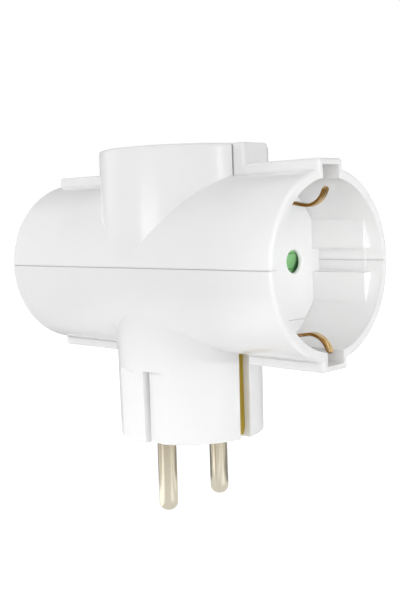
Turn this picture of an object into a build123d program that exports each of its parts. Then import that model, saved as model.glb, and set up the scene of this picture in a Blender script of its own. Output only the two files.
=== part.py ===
from build123d import *
import os
from math import atan, cos, degrees, radians, sin, sqrt

os.makedirs("parts", exist_ok=True)

# A three-way earthed plug adapter. The origin is the middle of the plug's face, between its pins.
# +Z runs up from the plug to the top socket, the cross barrel lies along X and the pins stand along Y.

# Plug and pins
pin_pitch = 19.0
pin_r = 2.4
pin_len = 19.0
pin_tip_flat = 0.3  # radius of the flat left on a rounded tip
pin_root_step = 0.2  # a pin is thicker inside the plug's floor
pin_fit = 0.05
flange_step = 1.0
flange_t = 1.6
tail_r = 1.5
tail_head_step = 0.8
tail_head_t = 0.9
pin_to_rim = 8.95  # middle of a pin to the rim of the plug's face
plug_taper = 0.5  # growth in radius from the face up to the barrel axis
plug_ledge_h = 17.7
plug_flat_cut = 1.85
plug_key_half = 1.85
plug_floor_t = 3.0
plug_wall = 2.15
plug_flat_wall = 1.7
plug_edge_round = 0.5

# Outer form
axis_h = 43.4  # plug face to the axis of the cross barrel
recess_play = 1.3  # a socket's recess around a plug of the same size
barrel_wall = 2.25
tower_root_wall = 2.15
tower_rim_wall = 1.95
rim_round = 0.8
weld = 0.4  # overlap that joins one moulded form to the next

# Earth ribs, which stand off the barrel and the top tube and are channelled inside
rib_w = 9.2
rib_rise = 2.0
tower_rib_rise = 2.6
rib_wall = 1.35
rib_side_wall = 1.6
rib_round = 0.7
rib_end_round = 1.5
line_w = 0.24  # fine slots that show as dark lines: the seam, and the roots of the upright ribs
line_depth = 0.6
lower_rib_groove = 0.42  # rounder groove at the roots of the ribs under the barrel
lower_rib_gap = 5.05  # rib's rounded end to the side of the plug

# Sockets
recess_depth = 18.6
top_floor = 10.6  # floor of the top socket above the barrel axis
guide_t = 2.95  # guide blocks reach this far in from the recess wall
guide_slot = 2.9  # half width of the slot between two guide blocks
guide_top = 10.0  # outer ends of two guide blocks, from the middle of their slot
guide_setback = 3.3  # guide blocks end this far inside the mouth
guide_pad_t = 0.35  # low pad in the slot
guide_pad_step = 1.5
keeper_t = 1.8  # ridge that holds the back of a floor plate
snap_reach = 0.7  # smaller ridge under the top floor plate

# Seam between the two shells
seam_inner = 0.35  # depth of the seam's line inside the sockets
seam_rim = 0.2  # groove across the rims
tongue_t = 1.0
tongue_h = 1.5
tongue_setback = 6.2  # ends of the tongue behind the floors of the side sockets
seam_fit = 0.1

# Floor plate with the post and stops of its shutter
plate_t = 1.0
plate_gap = 0.2
plate_cut = 5.5  # straight edges, measured in from the recess wall
hole_play = 0.45
hole_break = 0.25
post_r = 1.6
post_head_step = 0.7
post_head_t = 0.6
stop_r = 1.05
stop_touch = 0.08
stop_run = 9.2  # opened stop, measured along the wing

# Shutter, a two-winged turning bar with a ramp in front of each pin hole
shutter_gap = 0.15
shutter_t = 3.4
shutter_open = 40.0
hub_r = 4.2
hub_boss_wall = 0.95
hub_boss_h = 1.7
wing_high_edge = 1.35  # wing past the pin hole on the high side of its ramp
wing_low_edge = 0.45
wing_root = 2.0
wing_over = 1.85
ramp_half = 2.0
ramp_drop = 1.3
ramp_crease = 0.25  # fine step along each end of the ramp
peg_r = 0.5
peg_h = 0.8
run_fit = 0.05

# Return spring of a shutter
spring_play = 0.6
wire_r = 0.18
spring_wind = 1020.0  # degrees of winding between the two legs
spring_h = 1.1
spring_lift = 0.3  # first coil behind the back of the wings
spring_leg = 5.4

# Current path
strip_t = 0.8
bus_gap = 0.8  # between a busbar's stem and the wall of the plug
bus_w = 6.4
bus_top = 2.0
foot_half = 3.7
clip_t = 0.6
clip_front = 8.6  # clip mouth behind the socket floor
clip_back = 18.4
clip_inner = 2.6  # inner edge of a clip, measured from the middle of its pin
mouth_flare = 0.5
grip_bite = 0.25
heel_room = 0.3
clip_grip_from = 11.2
clip_grip_to = 12.6
rivet_r = 1.0
rivet_head_step = 0.7
rivet_inner_head = 0.35
rivet_outer_head = 0.6
rivet_fit = 0.05

# Earth path
earth_w = 3.6
clip_w = 2.0  # the strip is narrower in front of the floor
bend_r = 1.2
hump_bend_r = 5.0
clip_drop = 1.2  # the side sockets' clip pairs sit this far below the barrel axis
cup_gap = 1.85  # between the top socket's cup and the shutter of a side socket
jog_gap = 1.5  # where the web steps out around the cup
jog_drop = 1.0  # the step's run below the floor of the top socket
arm_inset = 3.35
arm_run = 2.0  # straight run in front of the floor plate
hump_setback = 3.6  # where the clip's two straight runs would meet, inside the mouth
hump_inset = 5.45
tip_setback = 1.3
tip_inset = 0.85
tip_flat = 0.2  # left between the rounded corners of a clip's tip
clip_slot_gap = 0.4
top_web_drop = 9.2
strip_inset = 1.85  # face of an earth strip, measured in from the rim of the plug's face
strip_wall = 2.6
strip_over = 3.4  # strip above its rivet
plug_strip_end = 0.5
strip_fit = 0.05
strip_bevel = 0.5
strip_bevel_run = 1.8
joint_drop = 6.1  # upper rivet below the floor of the top socket
plug_joint = -12.5
earth_rivet_r = 0.9
earth_head_step = 0.6
earth_head_t = 0.5

# Radii and reaches that follow from the sizes above
pin_root_r = pin_r + pin_root_step
pin_tip_round = pin_r - pin_tip_flat
flange_r = pin_r + flange_step
tail_head_r = tail_r + tail_head_step
plug_face_r = pin_pitch / 2 + pin_to_rim
plug_root_r = plug_face_r + plug_taper
plug_flat = plug_face_r - plug_flat_cut
plug_hollow_r = plug_face_r - plug_wall
recess_r = plug_face_r + recess_play
barrel_r = recess_r + barrel_wall
tower_root_r = recess_r + tower_root_wall
tower_rim_r = recess_r + tower_rim_wall
rib_top = barrel_r + rib_rise
channel_top = rib_top - rib_wall
channel_w = rib_w - 2 * rib_side_wall
tower_rib_reach = tower_root_r + tower_rib_rise
tower_channel_reach = tower_rib_reach - rib_wall
rib_root_x = sqrt(tower_rim_r**2 - (rib_w / 2) ** 2)
lower_rib_root = sqrt(barrel_r**2 - (rib_w / 2) ** 2)
lower_rib_start = plug_root_r + lower_rib_gap
guide_flat = recess_r - guide_t
pad_r = recess_r - guide_pad_t
plate_chord = recess_r - plate_cut
hole_r = pin_r + hole_play
post_head_r = post_r + post_head_step
hub_boss_r = post_r + run_fit + hub_boss_wall
spring_r = hub_boss_r + spring_play
wing_high = hole_r + wing_high_edge
wing_low = hole_r + wing_low_edge
wing_tip = pin_pitch / 2 + hole_r + wing_over
arm_r = recess_r - arm_inset
hump_r = recess_r - hump_inset
tip_r = recess_r - tip_inset
strip_face = plug_face_r - strip_inset
earth_web = strip_face + strip_t / 2
earth_head_r = earth_rivet_r + earth_head_step
strip_channel_half = earth_w / 2 + strip_fit
clip_slot_half = clip_w / 2 + clip_slot_gap
tip_round = (clip_w - tip_flat) / 2
plug_wall_x = strip_face - strip_t - strip_wall  # half width of the plug's hollow
plug_wall_y = plug_flat - plug_flat_wall
bus_face = plug_wall_y - bus_gap - strip_t  # inner face of a busbar, from the middle plane
clip_reach = pin_pitch / 2 - clip_inner
clip_mouth = pin_r + mouth_flare
clip_grip = pin_r - grip_bite
clip_heel = pin_r + heel_room
rivet_head_r = rivet_r + rivet_head_step

# Places that follow from the sizes above
hub_back = plate_t + shutter_gap + shutter_t
cup_r = tower_rim_r - weld
floor_x = cup_r + cup_gap + hub_back
barrel_half = floor_x + recess_depth
tower_rim_h = top_floor + recess_depth
tower_draft = degrees(atan((tower_root_r - tower_rim_r) / tower_rim_h))
plug_draft = degrees(atan(plug_taper / axis_h))
cup_low = top_floor - plate_t - keeper_t
tongue_half = floor_x - tongue_setback
post_len = shutter_gap + shutter_t + hub_boss_h + shutter_gap
spring_low = -hub_back - spring_lift - spring_h
foot_z = plug_floor_t + flange_t
foot_reach = pin_pitch / 2 - foot_half
bus_half = floor_x - clip_front
clip_middle = (clip_front + clip_back) / 2
jog_out = cup_r + jog_gap
jog_up = top_floor - plate_t - jog_drop
top_joint = top_floor - joint_drop
shoulder = plate_t + clip_slot_gap  # where a clip widens, behind the floor
hump_run = recess_depth - hump_setback
tip_run = recess_depth - tip_setback
plug_strip_up = axis_h + plug_joint + strip_over
pin_spots = [(pin_pitch / 2, 0), (-pin_pitch / 2, 0)]
guide_end = recess_depth - guide_setback

# Frames. A socket's frame lies on its floor, with z out of the mouth and x along its pin holes.
axis_plane = Plane.XY.offset(axis_h)
cross_plane = Plane(origin=(0, 0, axis_h), x_dir=(0, 1, 0), z_dir=(1, 0, 0))
barrel_start = cross_plane.offset(-barrel_half)
right_frame = Plane(origin=(floor_x, 0, axis_h), x_dir=(0, 1, 0), z_dir=(1, 0, 0))
left_frame = Plane(origin=(-floor_x, 0, axis_h), x_dir=(0, -1, 0), z_dir=(-1, 0, 0))
top_frame = Plane(origin=(0, 0, axis_h + top_floor), x_dir=(0, 1, 0), z_dir=(0, 0, 1))
side_frames = [right_frame, left_frame]
socket_frames = {"right": right_frame, "left": left_frame, "top": top_frame}
sides = {"front": -1, "rear": 1}
hands = {"right": 1, "left": -1}


def finish(piece, name):
    """Labels a piece and writes it as its own file."""
    piece.part.label = name
    export_step(piece.part, f"parts/{name}.step")


def side_plane(hand):
    """Upright plane through the barrel axis, with x towards one end of the barrel and y up."""
    return Plane(origin=(0, 0, axis_h), x_dir=(hand, 0, 0), z_dir=(0, -hand, 0))


# Top tube of the upper shell with its two upright ribs
with BuildPart() as tower_blank:
    with BuildSketch(axis_plane):
        Circle(tower_root_r)
    extrude(amount=tower_rim_h, taper=tower_draft)
    with BuildSketch(axis_plane):
        Rectangle(2 * tower_rib_reach, rib_w)
    extrude(amount=tower_rim_h)
    upright = tower_blank.edges().filter_by(Axis.Z)
    fillet(upright.group_by(Axis.X)[0] + upright.group_by(Axis.X)[-1], rib_round)
    fillet(tower_blank.faces().sort_by(Axis.Z)[-1].edges(), rim_round)
    with BuildSketch(axis_plane):
        with GridLocations(2 * rib_root_x, rib_w + line_w, 2, 2):
            Rectangle(2 * line_depth, line_w)
    extrude(amount=tower_rim_h, mode=Mode.SUBTRACT)

# Barrel with the rib along its top
with BuildPart() as barrel_blank:
    with BuildSketch(barrel_start):
        Circle(barrel_r)
        with Locations((0, rib_top / 2)):
            Rectangle(rib_w, rib_top)
    extrude(amount=2 * barrel_half)
    fillet(barrel_blank.edges().filter_by(Axis.X).group_by(Axis.Z)[-1], rib_round)
    ends = barrel_blank.faces().filter_by(Plane.YZ)
    fillet(ends.edges(), rim_round)

# Plain barrel with the two short ribs under it, each with a rounded end towards the plug
with BuildPart() as belly_blank:
    with BuildSketch(barrel_start):
        Circle(barrel_r)
    extrude(amount=2 * barrel_half)
    for hand in hands.values():
        with BuildSketch(side_plane(hand)) as rib_side:
            with Locations(((lower_rib_start + barrel_half) / 2, -rib_top / 2)):
                Rectangle(barrel_half - lower_rib_start, rib_top)
            inner_end = rib_side.vertices().group_by(Axis.Z)[0].sort_by_distance((0, 0, 0))[0]
            fillet(inner_end, rib_end_round)
        extrude(amount=rib_w / 2, both=True)
    rib_sides = belly_blank.faces().filter_by(Axis.Y).edges()
    rib_sides = rib_sides.filter_by(lambda edge: edge.center().Z < axis_h - barrel_r)
    fillet(rib_sides.filter_by(lambda edge: abs(edge.center().X) < barrel_half - weld), rib_round)
    ends = belly_blank.faces().filter_by(Axis.X).group_by(SortBy.AREA)[-1]
    fillet(ends.edges(), rim_round)
    for hand in hands.values():
        with BuildSketch(cross_plane.offset(hand * lower_rib_start)):
            with Locations((rib_w / 2, -lower_rib_root), (-rib_w / 2, -lower_rib_root)):
                Circle(lower_rib_groove)
        extrude(amount=hand * (barrel_half - 2 * rim_round - lower_rib_start), mode=Mode.SUBTRACT)

# Inside of a socket, drawn with its floor on the base plane: guide blocks and low pads in front of the
# floor plate, and floor segments beside it, notched for the earth clips
with BuildPart() as socket_lining:
    with BuildSketch(Plane.XY):
        Circle(recess_r + weld)
        Rectangle(2 * barrel_r, 2 * guide_top, mode=Mode.INTERSECT)
        Rectangle(2 * guide_flat, 2 * barrel_r, mode=Mode.SUBTRACT)
        Rectangle(2 * barrel_r, 2 * guide_slot, mode=Mode.SUBTRACT)
    extrude(amount=guide_end)
    with BuildSketch(Plane.XY):
        Circle(recess_r + weld)
        Rectangle(2 * barrel_r, 2 * guide_slot, mode=Mode.INTERSECT)
        Rectangle(2 * pad_r, 2 * barrel_r, mode=Mode.SUBTRACT)
    extrude(amount=guide_end - guide_pad_step)
    with BuildSketch(Plane.XY.offset(-plate_t)):
        Circle(recess_r + weld)
        Rectangle(2 * barrel_r, 2 * (plate_chord + seam_fit), mode=Mode.SUBTRACT)
        Rectangle(2 * clip_slot_half, 2 * barrel_r, mode=Mode.SUBTRACT)
    extrude(amount=plate_t)

# Keepers behind the floor plate of a side socket
with BuildPart() as side_keepers:
    with BuildSketch(Plane.XY.offset(-plate_t - keeper_t)):
        Circle(recess_r + weld)
        Rectangle(2 * guide_flat, 2 * barrel_r, mode=Mode.SUBTRACT)
        Rectangle(2 * barrel_r, 2 * guide_slot, mode=Mode.SUBTRACT)
    extrude(amount=keeper_t)

# Seam grooves: along the barrel outside, along the slots' pads inside, and across the rims
with BuildPart() as seam_grooves:
    with BuildSketch(barrel_start):
        with Locations((barrel_r, 0), (-barrel_r, 0)):
            Rectangle(2 * line_depth, line_w)
        with Locations((pad_r, 0), (-pad_r, 0)):
            Rectangle(2 * seam_inner, line_w)
    extrude(amount=2 * barrel_half)
    with BuildSketch(side_plane(1)):
        with Locations((barrel_half, 0), (-barrel_half, 0)):
            RegularPolygon(seam_rim, side_count=4)
    extrude(amount=barrel_r, both=True)

# Hollow of the barrel with the seam's fine groove along its wall
with BuildPart() as barrel_hollow:
    with BuildSketch(barrel_start):
        Circle(recess_r)
        with Locations((recess_r, 0), (-recess_r, 0)):
            Rectangle(2 * seam_inner, line_w)
    extrude(amount=2 * barrel_half)

# Upper shell
with BuildPart() as upper_shell:
    add(barrel_blank.part)
    add(tower_blank.part)
    add(barrel_hollow.part, mode=Mode.SUBTRACT)
    with BuildSketch(axis_plane):
        Circle(recess_r)
    extrude(amount=tower_rim_h, mode=Mode.SUBTRACT)
    # Wall of the top socket's cup where it stands inside the barrel
    with BuildSketch(axis_plane.offset(cup_low)):
        Circle(cup_r)
        Circle(recess_r, mode=Mode.SUBTRACT)
    extrude(amount=recess_r - cup_low)
    # Earth channels
    with BuildSketch(axis_plane.offset(cup_low)):
        Rectangle(2 * tower_channel_reach, channel_w)
    extrude(amount=tower_rim_h - cup_low, mode=Mode.SUBTRACT)
    for frame in side_frames:
        with BuildSketch(frame.offset(-plate_t)):
            with Locations((0, channel_top / 2)):
                Rectangle(channel_w, channel_top)
        extrude(amount=recess_depth + plate_t, mode=Mode.SUBTRACT)
    # Linings of the three sockets, and what holds the backs of their floor plates
    for frame in socket_frames.values():
        with Locations(frame.location):
            add(socket_lining.part)
    for frame in side_frames:
        with Locations(frame.location):
            add(side_keepers.part)
    with BuildSketch(top_frame.offset(-plate_t - keeper_t)):
        Circle(recess_r + weld)
        Rectangle(2 * (recess_r - snap_reach), 2 * barrel_r, mode=Mode.SUBTRACT)
    extrude(amount=keeper_t)
    split(bisect_by=axis_plane, keep=Keep.TOP)
    # Seam: fine grooves outside and inside, and the tongue behind them
    add(seam_grooves.part, mode=Mode.SUBTRACT)
    with BuildSketch(axis_plane):
        with Locations((0, recess_r + tongue_t / 2), (0, -recess_r - tongue_t / 2)):
            Rectangle(2 * tongue_half, tongue_t)
    extrude(amount=-tongue_h)

finish(upper_shell, "upper_shell")

# Lower shell
with BuildPart() as lower_shell:
    add(belly_blank.part)
    with BuildSketch(Plane.XY):
        Circle(plug_face_r)
    extrude(amount=axis_h, taper=-plug_draft)
    fillet(lower_shell.faces().sort_by(Axis.Z)[0].edges(), plug_edge_round)
    # Guide flats with the key left standing between them
    with BuildSketch(Plane.XY):
        Rectangle(2 * barrel_r, 2 * barrel_r)
        Rectangle(2 * barrel_r, 2 * plug_flat, mode=Mode.SUBTRACT)
        Rectangle(2 * plug_key_half, 2 * barrel_r, mode=Mode.SUBTRACT)
    extrude(amount=plug_ledge_h, mode=Mode.SUBTRACT)
    # Earth channels down the sides, and the slots through which the strips come out
    with BuildSketch(Plane.XY):
        Rectangle(2 * barrel_r, 2 * strip_channel_half)
        Rectangle(2 * (strip_face - strip_t), 2 * barrel_r, mode=Mode.SUBTRACT)
    extrude(amount=axis_h - barrel_r, mode=Mode.SUBTRACT)
    with BuildSketch(Plane.XY):
        Rectangle(2 * (strip_face + pin_fit), 2 * strip_channel_half)
        Rectangle(2 * (strip_face - strip_t), 2 * barrel_r, mode=Mode.SUBTRACT)
    extrude(amount=axis_h, mode=Mode.SUBTRACT)
    # Hollow of the plug and of the barrel
    with BuildSketch(Plane.XY.offset(plug_floor_t)):
        Circle(plug_hollow_r)
        Rectangle(2 * plug_wall_x, 2 * plug_wall_y, mode=Mode.INTERSECT)
    extrude(amount=axis_h - plug_floor_t, mode=Mode.SUBTRACT)
    with BuildSketch(Plane.XY):
        with Locations((0, pin_pitch / 2), (0, -pin_pitch / 2)):
            Circle(pin_root_r + pin_fit)
    extrude(amount=plug_floor_t, mode=Mode.SUBTRACT)
    add(barrel_hollow.part, mode=Mode.SUBTRACT)
    for frame in side_frames:
        with BuildSketch(frame.offset(-plate_t)):
            with Locations((0, -channel_top / 2)):
                Rectangle(channel_w, channel_top)
        extrude(amount=recess_depth + plate_t, mode=Mode.SUBTRACT)
    # Linings of the side sockets
    for frame in side_frames:
        with Locations(frame.location):
            add(socket_lining.part)
            add(side_keepers.part)
    split(bisect_by=axis_plane, keep=Keep.BOTTOM)
    # Seam grooves, and the rebate for the tongue
    add(seam_grooves.part, mode=Mode.SUBTRACT)
    with BuildSketch(axis_plane):
        with Locations((0, recess_r + tongue_t / 2), (0, -recess_r - tongue_t / 2)):
            Rectangle(2 * (tongue_half + seam_fit), tongue_t + 2 * seam_fit)
    extrude(amount=-tongue_h - seam_fit, mode=Mode.SUBTRACT)

finish(lower_shell, "lower_shell")


def turned(along, across, angle):
    """Point given along and across a line that is turned by an angle about the middle."""
    turn = radians(angle)
    return (along * cos(turn) - across * sin(turn), along * sin(turn) + across * cos(turn))


# The stop that a closed wing rests on also anchors the spring's rear leg
stop_closed = (spring_r + wire_r + stop_r, -wing_low - stop_r - stop_touch)
stop_opened = turned(stop_run, wing_high + stop_r + stop_touch, shutter_open)
spring_end = radians(spring_wind)
leg_heading = spring_wind + 90
peg_spot = turned(spring_leg, -wire_r - peg_r, leg_heading)
peg_spot = (peg_spot[0] + spring_r * cos(spring_end), peg_spot[1] + spring_r * sin(spring_end))


def make_plate(name, frame):
    """Floor plate of a socket with its pin holes, shutter post and shutter stops."""
    with BuildPart() as plate:
        with BuildSketch(frame.offset(-plate_t)):
            Circle(recess_r - plate_gap)
            Rectangle(2 * recess_r, 2 * plate_chord, mode=Mode.INTERSECT)
            with Locations(*pin_spots):
                Circle(hole_r, mode=Mode.SUBTRACT)
        extrude(amount=plate_t)
        mouths = plate.edges().filter_by(GeomType.CIRCLE)
        mouths = mouths.filter_by(lambda edge: abs(edge.radius - hole_r) < run_fit)
        mouths = mouths.filter_by(lambda edge: abs(frame.to_local_coords(edge.arc_center).Z) < run_fit)
        chamfer(mouths, hole_break)
        with BuildSketch(frame.offset(-plate_t)):
            Circle(post_r)
        extrude(amount=-post_len)
        with BuildSketch(frame.offset(-plate_t - post_len)):
            Circle(post_head_r)
        extrude(amount=-post_head_t)
        for spot, reach in ((stop_closed, post_len), (stop_opened, shutter_gap + shutter_t)):
            with BuildSketch(frame.offset(-plate_t)):
                with Locations(spot):
                    Circle(stop_r)
            extrude(amount=-reach)
    finish(plate, name)


def make_shutter(name, frame):
    """Shutter with two ramped wings, a hub that turns on the plate's post and a peg for its spring."""
    with BuildPart() as shutter:
        for way in (1, -1):
            section = Plane(origin=frame.origin, x_dir=frame.y_dir * way, z_dir=frame.x_dir * way)
            front = -plate_t - shutter_gap
            with BuildSketch(section.offset(wing_root)):
                with BuildLine():
                    Polyline(
                        (wing_high, -hub_back),
                        (wing_high, front),
                        (ramp_half + ramp_crease, front),
                        (ramp_half, front - ramp_crease),
                        (-ramp_half, front - ramp_drop),
                        (-ramp_half - ramp_crease, front - ramp_drop + ramp_crease),
                        (-wing_low, front - ramp_drop + ramp_crease),
                        (-wing_low, -hub_back),
                        close=True,
                    )
                make_face()
            extrude(amount=wing_tip - wing_root)
        with BuildSketch(frame.offset(-hub_back)):
            Circle(wing_tip)
        extrude(amount=shutter_t, mode=Mode.INTERSECT)
        with BuildSketch(frame.offset(-hub_back)):
            Circle(hub_r)
        extrude(amount=shutter_t)
        with BuildSketch(frame.offset(-hub_back)):
            Circle(hub_boss_r)
        extrude(amount=-hub_boss_h)
        with BuildSketch(frame.offset(-hub_back)):
            with Locations(peg_spot):
                Circle(peg_r)
        extrude(amount=-peg_h)
        with BuildSketch(frame.offset(-hub_back - hub_boss_h)):
            Circle(post_r + run_fit)
        extrude(amount=hub_boss_h + shutter_t, mode=Mode.SUBTRACT)
    finish(shutter, name)


# Return spring: coils around the hub's boss, one leg on the plate's stop, one on the peg
with BuildPart() as coil_blank:
    with BuildLine() as wire:
        coil = Helix(spring_h * 360 / spring_wind, spring_h, spring_r, center=(0, 0, spring_low))
        Line(coil @ 0, coil @ 0 - (coil % 0) * spring_leg)
        Line(coil @ 1, coil @ 1 + (coil % 1) * spring_leg)
    with BuildSketch(Plane(origin=wire.line @ 0, z_dir=wire.line % 0)):
        Circle(wire_r)
    sweep(path=wire.line)


def make_spring(name, frame):
    """Return spring of a socket's shutter, placed on the socket's frame."""
    with BuildPart() as spring:
        with Locations(frame.location):
            add(coil_blank.part)
    finish(spring, name)


for place, frame in socket_frames.items():
    make_plate(f"{place}_socket_plate", frame)
    make_shutter(f"{place}_shutter", frame)
    make_spring(f"{place}_shutter_spring", frame)


def make_pin(name, side):
    """Plug pin with a rounded tip, a flange inside the plug and a riveted tail."""
    upright = Plane(origin=(0, side * pin_pitch / 2, 0), x_dir=(1, 0, 0), z_dir=(0, -1, 0))
    with BuildPart() as pin:
        with BuildSketch(upright):
            with BuildLine():
                Line((0, -pin_len), (pin_r - pin_tip_round, -pin_len))
                RadiusArc(
                    (pin_r - pin_tip_round, -pin_len),
                    (pin_r, pin_tip_round - pin_len),
                    -pin_tip_round,
                )
                Polyline(
                    (pin_r, pin_tip_round - pin_len),
                    (pin_r, 0),
                    (pin_root_r, 0),
                    (pin_root_r, plug_floor_t),
                    (flange_r, plug_floor_t),
                    (flange_r, foot_z),
                    (tail_r, foot_z),
                    (tail_r, foot_z + strip_t),
                    (tail_head_r, foot_z + strip_t),
                    (tail_head_r, foot_z + strip_t + tail_head_t),
                    (0, foot_z + strip_t + tail_head_t),
                    (0, -pin_len),
                )
            make_face()
        revolve(axis=Axis(upright.origin, (0, 0, 1)))
    finish(pin, name)


def make_busbar(name, side):
    """Busbar on one side: a bar behind the side sockets, a stem and a foot on the pin's flange."""
    plane = Plane(origin=(0, side * bus_face, axis_h), x_dir=(-side, 0, 0), z_dir=(0, side, 0))
    stem_h = axis_h + bus_top - foot_z
    with BuildPart() as busbar:
        with BuildSketch(plane):
            Rectangle(2 * bus_half, bus_w)
            with Locations((0, bus_top - stem_h / 2)):
                Rectangle(bus_w, stem_h)
            with Locations(*[spot for spot, _ in contact_spots(side)]):
                Circle(rivet_r + rivet_fit, mode=Mode.SUBTRACT)
        extrude(amount=strip_t)
        with BuildSketch(Plane.XY.offset(foot_z)):
            with Locations((0, side * (bus_face + strip_t + foot_reach) / 2)):
                Rectangle(bus_w, bus_face + strip_t - foot_reach)
            with Locations((0, side * pin_pitch / 2)):
                Circle(tail_r + rivet_fit, mode=Mode.SUBTRACT)
        extrude(amount=strip_t)
    finish(busbar, name)


def contact_spots(side):
    """Rivet places of the three contacts on a busbar, with the socket that each belongs to."""
    run = floor_x - clip_middle
    return [((-side * run, 0), "right"), ((side * run, 0), "left"), ((0, top_floor - clip_middle), "top")]


def make_contact(name, frame, way):
    """Pin contact: a web on the busbar with two sprung leaves that pinch the pin."""
    section = Plane(origin=frame.origin, x_dir=frame.y_dir * way, z_dir=frame.x_dir * way)
    with BuildPart() as contact:
        for flip in (1, -1):
            with BuildSketch(section.offset(clip_reach)):
                with BuildLine():
                    Polyline(
                        (flip * clip_mouth, -clip_front),
                        (flip * clip_grip, -clip_grip_from),
                        (flip * clip_grip, -clip_grip_to),
                        (flip * clip_heel, -clip_back),
                        (flip * (clip_heel + clip_t), -clip_back),
                        (flip * (clip_grip + clip_t), -clip_grip_to),
                        (flip * (clip_grip + clip_t), -clip_grip_from),
                        (flip * (clip_mouth + clip_t), -clip_front),
                        close=True,
                    )
                make_face()
            extrude(amount=bus_face - clip_reach)
        with BuildSketch(section.offset(bus_face - clip_t)):
            with Locations((0, -clip_middle)):
                Rectangle(2 * clip_heel, clip_back - clip_front)
                Circle(rivet_r + rivet_fit, mode=Mode.SUBTRACT)
        extrude(amount=clip_t)
    finish(contact, name)


for row, side in sides.items():
    make_pin(f"{row}_pin", side)
    make_busbar(f"{row}_busbar", side)
    for place, frame in socket_frames.items():
        make_contact(f"{place}_{row}_contact", frame, side * frame.x_dir.Y)

# Rivets that join the contacts to the busbars
with BuildPart() as contact_rivets:
    for side in sides.values():
        plane = Plane(origin=(0, side * bus_face, axis_h), x_dir=(-side, 0, 0), z_dir=(0, side, 0))
        for spot, _ in contact_spots(side):
            with BuildSketch(plane.offset(-clip_t)):
                with Locations(spot):
                    Circle(rivet_r)
            extrude(amount=clip_t + strip_t)
            with BuildSketch(plane.offset(-clip_t)):
                with Locations(spot):
                    Circle(rivet_head_r)
            extrude(amount=-rivet_inner_head)
            with BuildSketch(plane.offset(strip_t)):
                with Locations(spot):
                    Circle(rivet_head_r)
            extrude(amount=rivet_outer_head)

finish(contact_rivets, "contact_rivets")


def make_side_earth(name, hand):
    """Earth bracket of a side socket: two sprung clips joined by a web behind the floor plate."""
    upper = arm_r - clip_drop
    lower = -arm_r - clip_drop
    with BuildPart() as bracket:
        with BuildSketch(side_plane(hand)):
            with BuildLine():
                FilletPolyline(
                    (floor_x + arm_run, upper),
                    (jog_out, upper),
                    (jog_out, jog_up),
                    (earth_web, jog_up),
                    (earth_web, lower),
                    (floor_x + arm_run, lower),
                    radius=bend_r,
                )
                for rise in (1, -1):
                    FilletPolyline(
                        (floor_x + arm_run, rise * arm_r - clip_drop),
                        (floor_x + hump_run, rise * hump_r - clip_drop),
                        (floor_x + tip_run, rise * tip_r - clip_drop),
                        radius=hump_bend_r,
                    )
            trace(line_width=strip_t)
        extrude(amount=earth_w / 2, both=True)
        with BuildSketch(axis_plane):
            Rectangle(2 * (floor_x - shoulder), earth_w)
            Rectangle(2 * barrel_half, clip_w)
        extrude(amount=recess_r, both=True, mode=Mode.INTERSECT)
        corners = bracket.edges().filter_by(lambda edge: abs(edge.length - strip_t) < run_fit)
        tips = corners.filter_by(lambda edge: abs(abs(edge.center().X) - floor_x - tip_run) < run_fit)
        fillet(tips, tip_round)
        with BuildSketch(cross_plane):
            with Locations((0, top_joint), (0, plug_joint)):
                Circle(earth_rivet_r + rivet_fit)
        extrude(amount=hand * barrel_half, mode=Mode.SUBTRACT)
    finish(bracket, name)


def make_plug_strip(name, hand):
    """Earth strip on a side of the plug, with a bevelled end, that runs up inside to a bracket's web."""
    middle = strip_face - strip_t / 2
    with BuildPart() as strip:
        with BuildSketch(Plane.XY.offset(plug_strip_end)):
            with Locations((hand * middle, 0)):
                Rectangle(strip_t, earth_w)
        extrude(amount=plug_strip_up - plug_strip_end)
        low_end = strip.faces().sort_by(Axis.Z)[0]
        low_edge = low_end.edges().filter_by(Axis.Y).sort_by(Axis((0, 0, 0), (hand, 0, 0)))[-1]
        chamfer(low_edge, strip_bevel, strip_bevel_run, reference=low_end)
        with BuildSketch(cross_plane):
            with Locations((0, plug_joint)):
                Circle(earth_rivet_r + rivet_fit)
        extrude(amount=hand * barrel_half, mode=Mode.SUBTRACT)
    finish(strip, name)


for place, hand in hands.items():
    make_side_earth(f"{place}_earth_bracket", hand)
    make_plug_strip(f"{place}_plug_earth_strip", hand)

# Earth bracket of the top socket
with BuildPart() as top_earth_bracket:
    top_arm = strip_face - strip_t / 2
    with BuildSketch(side_plane(1)):
        with BuildLine():
            FilletPolyline(
                (-top_arm, top_floor + arm_run),
                (-top_arm, top_floor - top_web_drop),
                (top_arm, top_floor - top_web_drop),
                (top_arm, top_floor + arm_run),
                radius=bend_r,
            )
            for hand in hands.values():
                FilletPolyline(
                    (hand * top_arm, top_floor + arm_run),
                    (hand * hump_r, top_floor + hump_run),
                    (hand * tip_r, top_floor + tip_run),
                    radius=hump_bend_r,
                )
        trace(line_width=strip_t)
    extrude(amount=earth_w / 2, both=True)
    with BuildSketch(cross_plane):
        Rectangle(earth_w, 2 * (top_floor - shoulder))
        Rectangle(clip_w, 2 * tower_rim_h)
    extrude(amount=recess_r, both=True, mode=Mode.INTERSECT)
    corners = top_earth_bracket.edges().filter_by(lambda edge: abs(edge.length - strip_t) < run_fit)
    tips = corners.filter_by(lambda edge: abs(edge.center().Z - axis_h - top_floor - tip_run) < run_fit)
    fillet(tips, tip_round)
    with BuildSketch(cross_plane):
        with Locations((0, top_joint)):
            Circle(earth_rivet_r + rivet_fit)
    extrude(amount=barrel_half, both=True, mode=Mode.SUBTRACT)

finish(top_earth_bracket, "top_earth_bracket")

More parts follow.
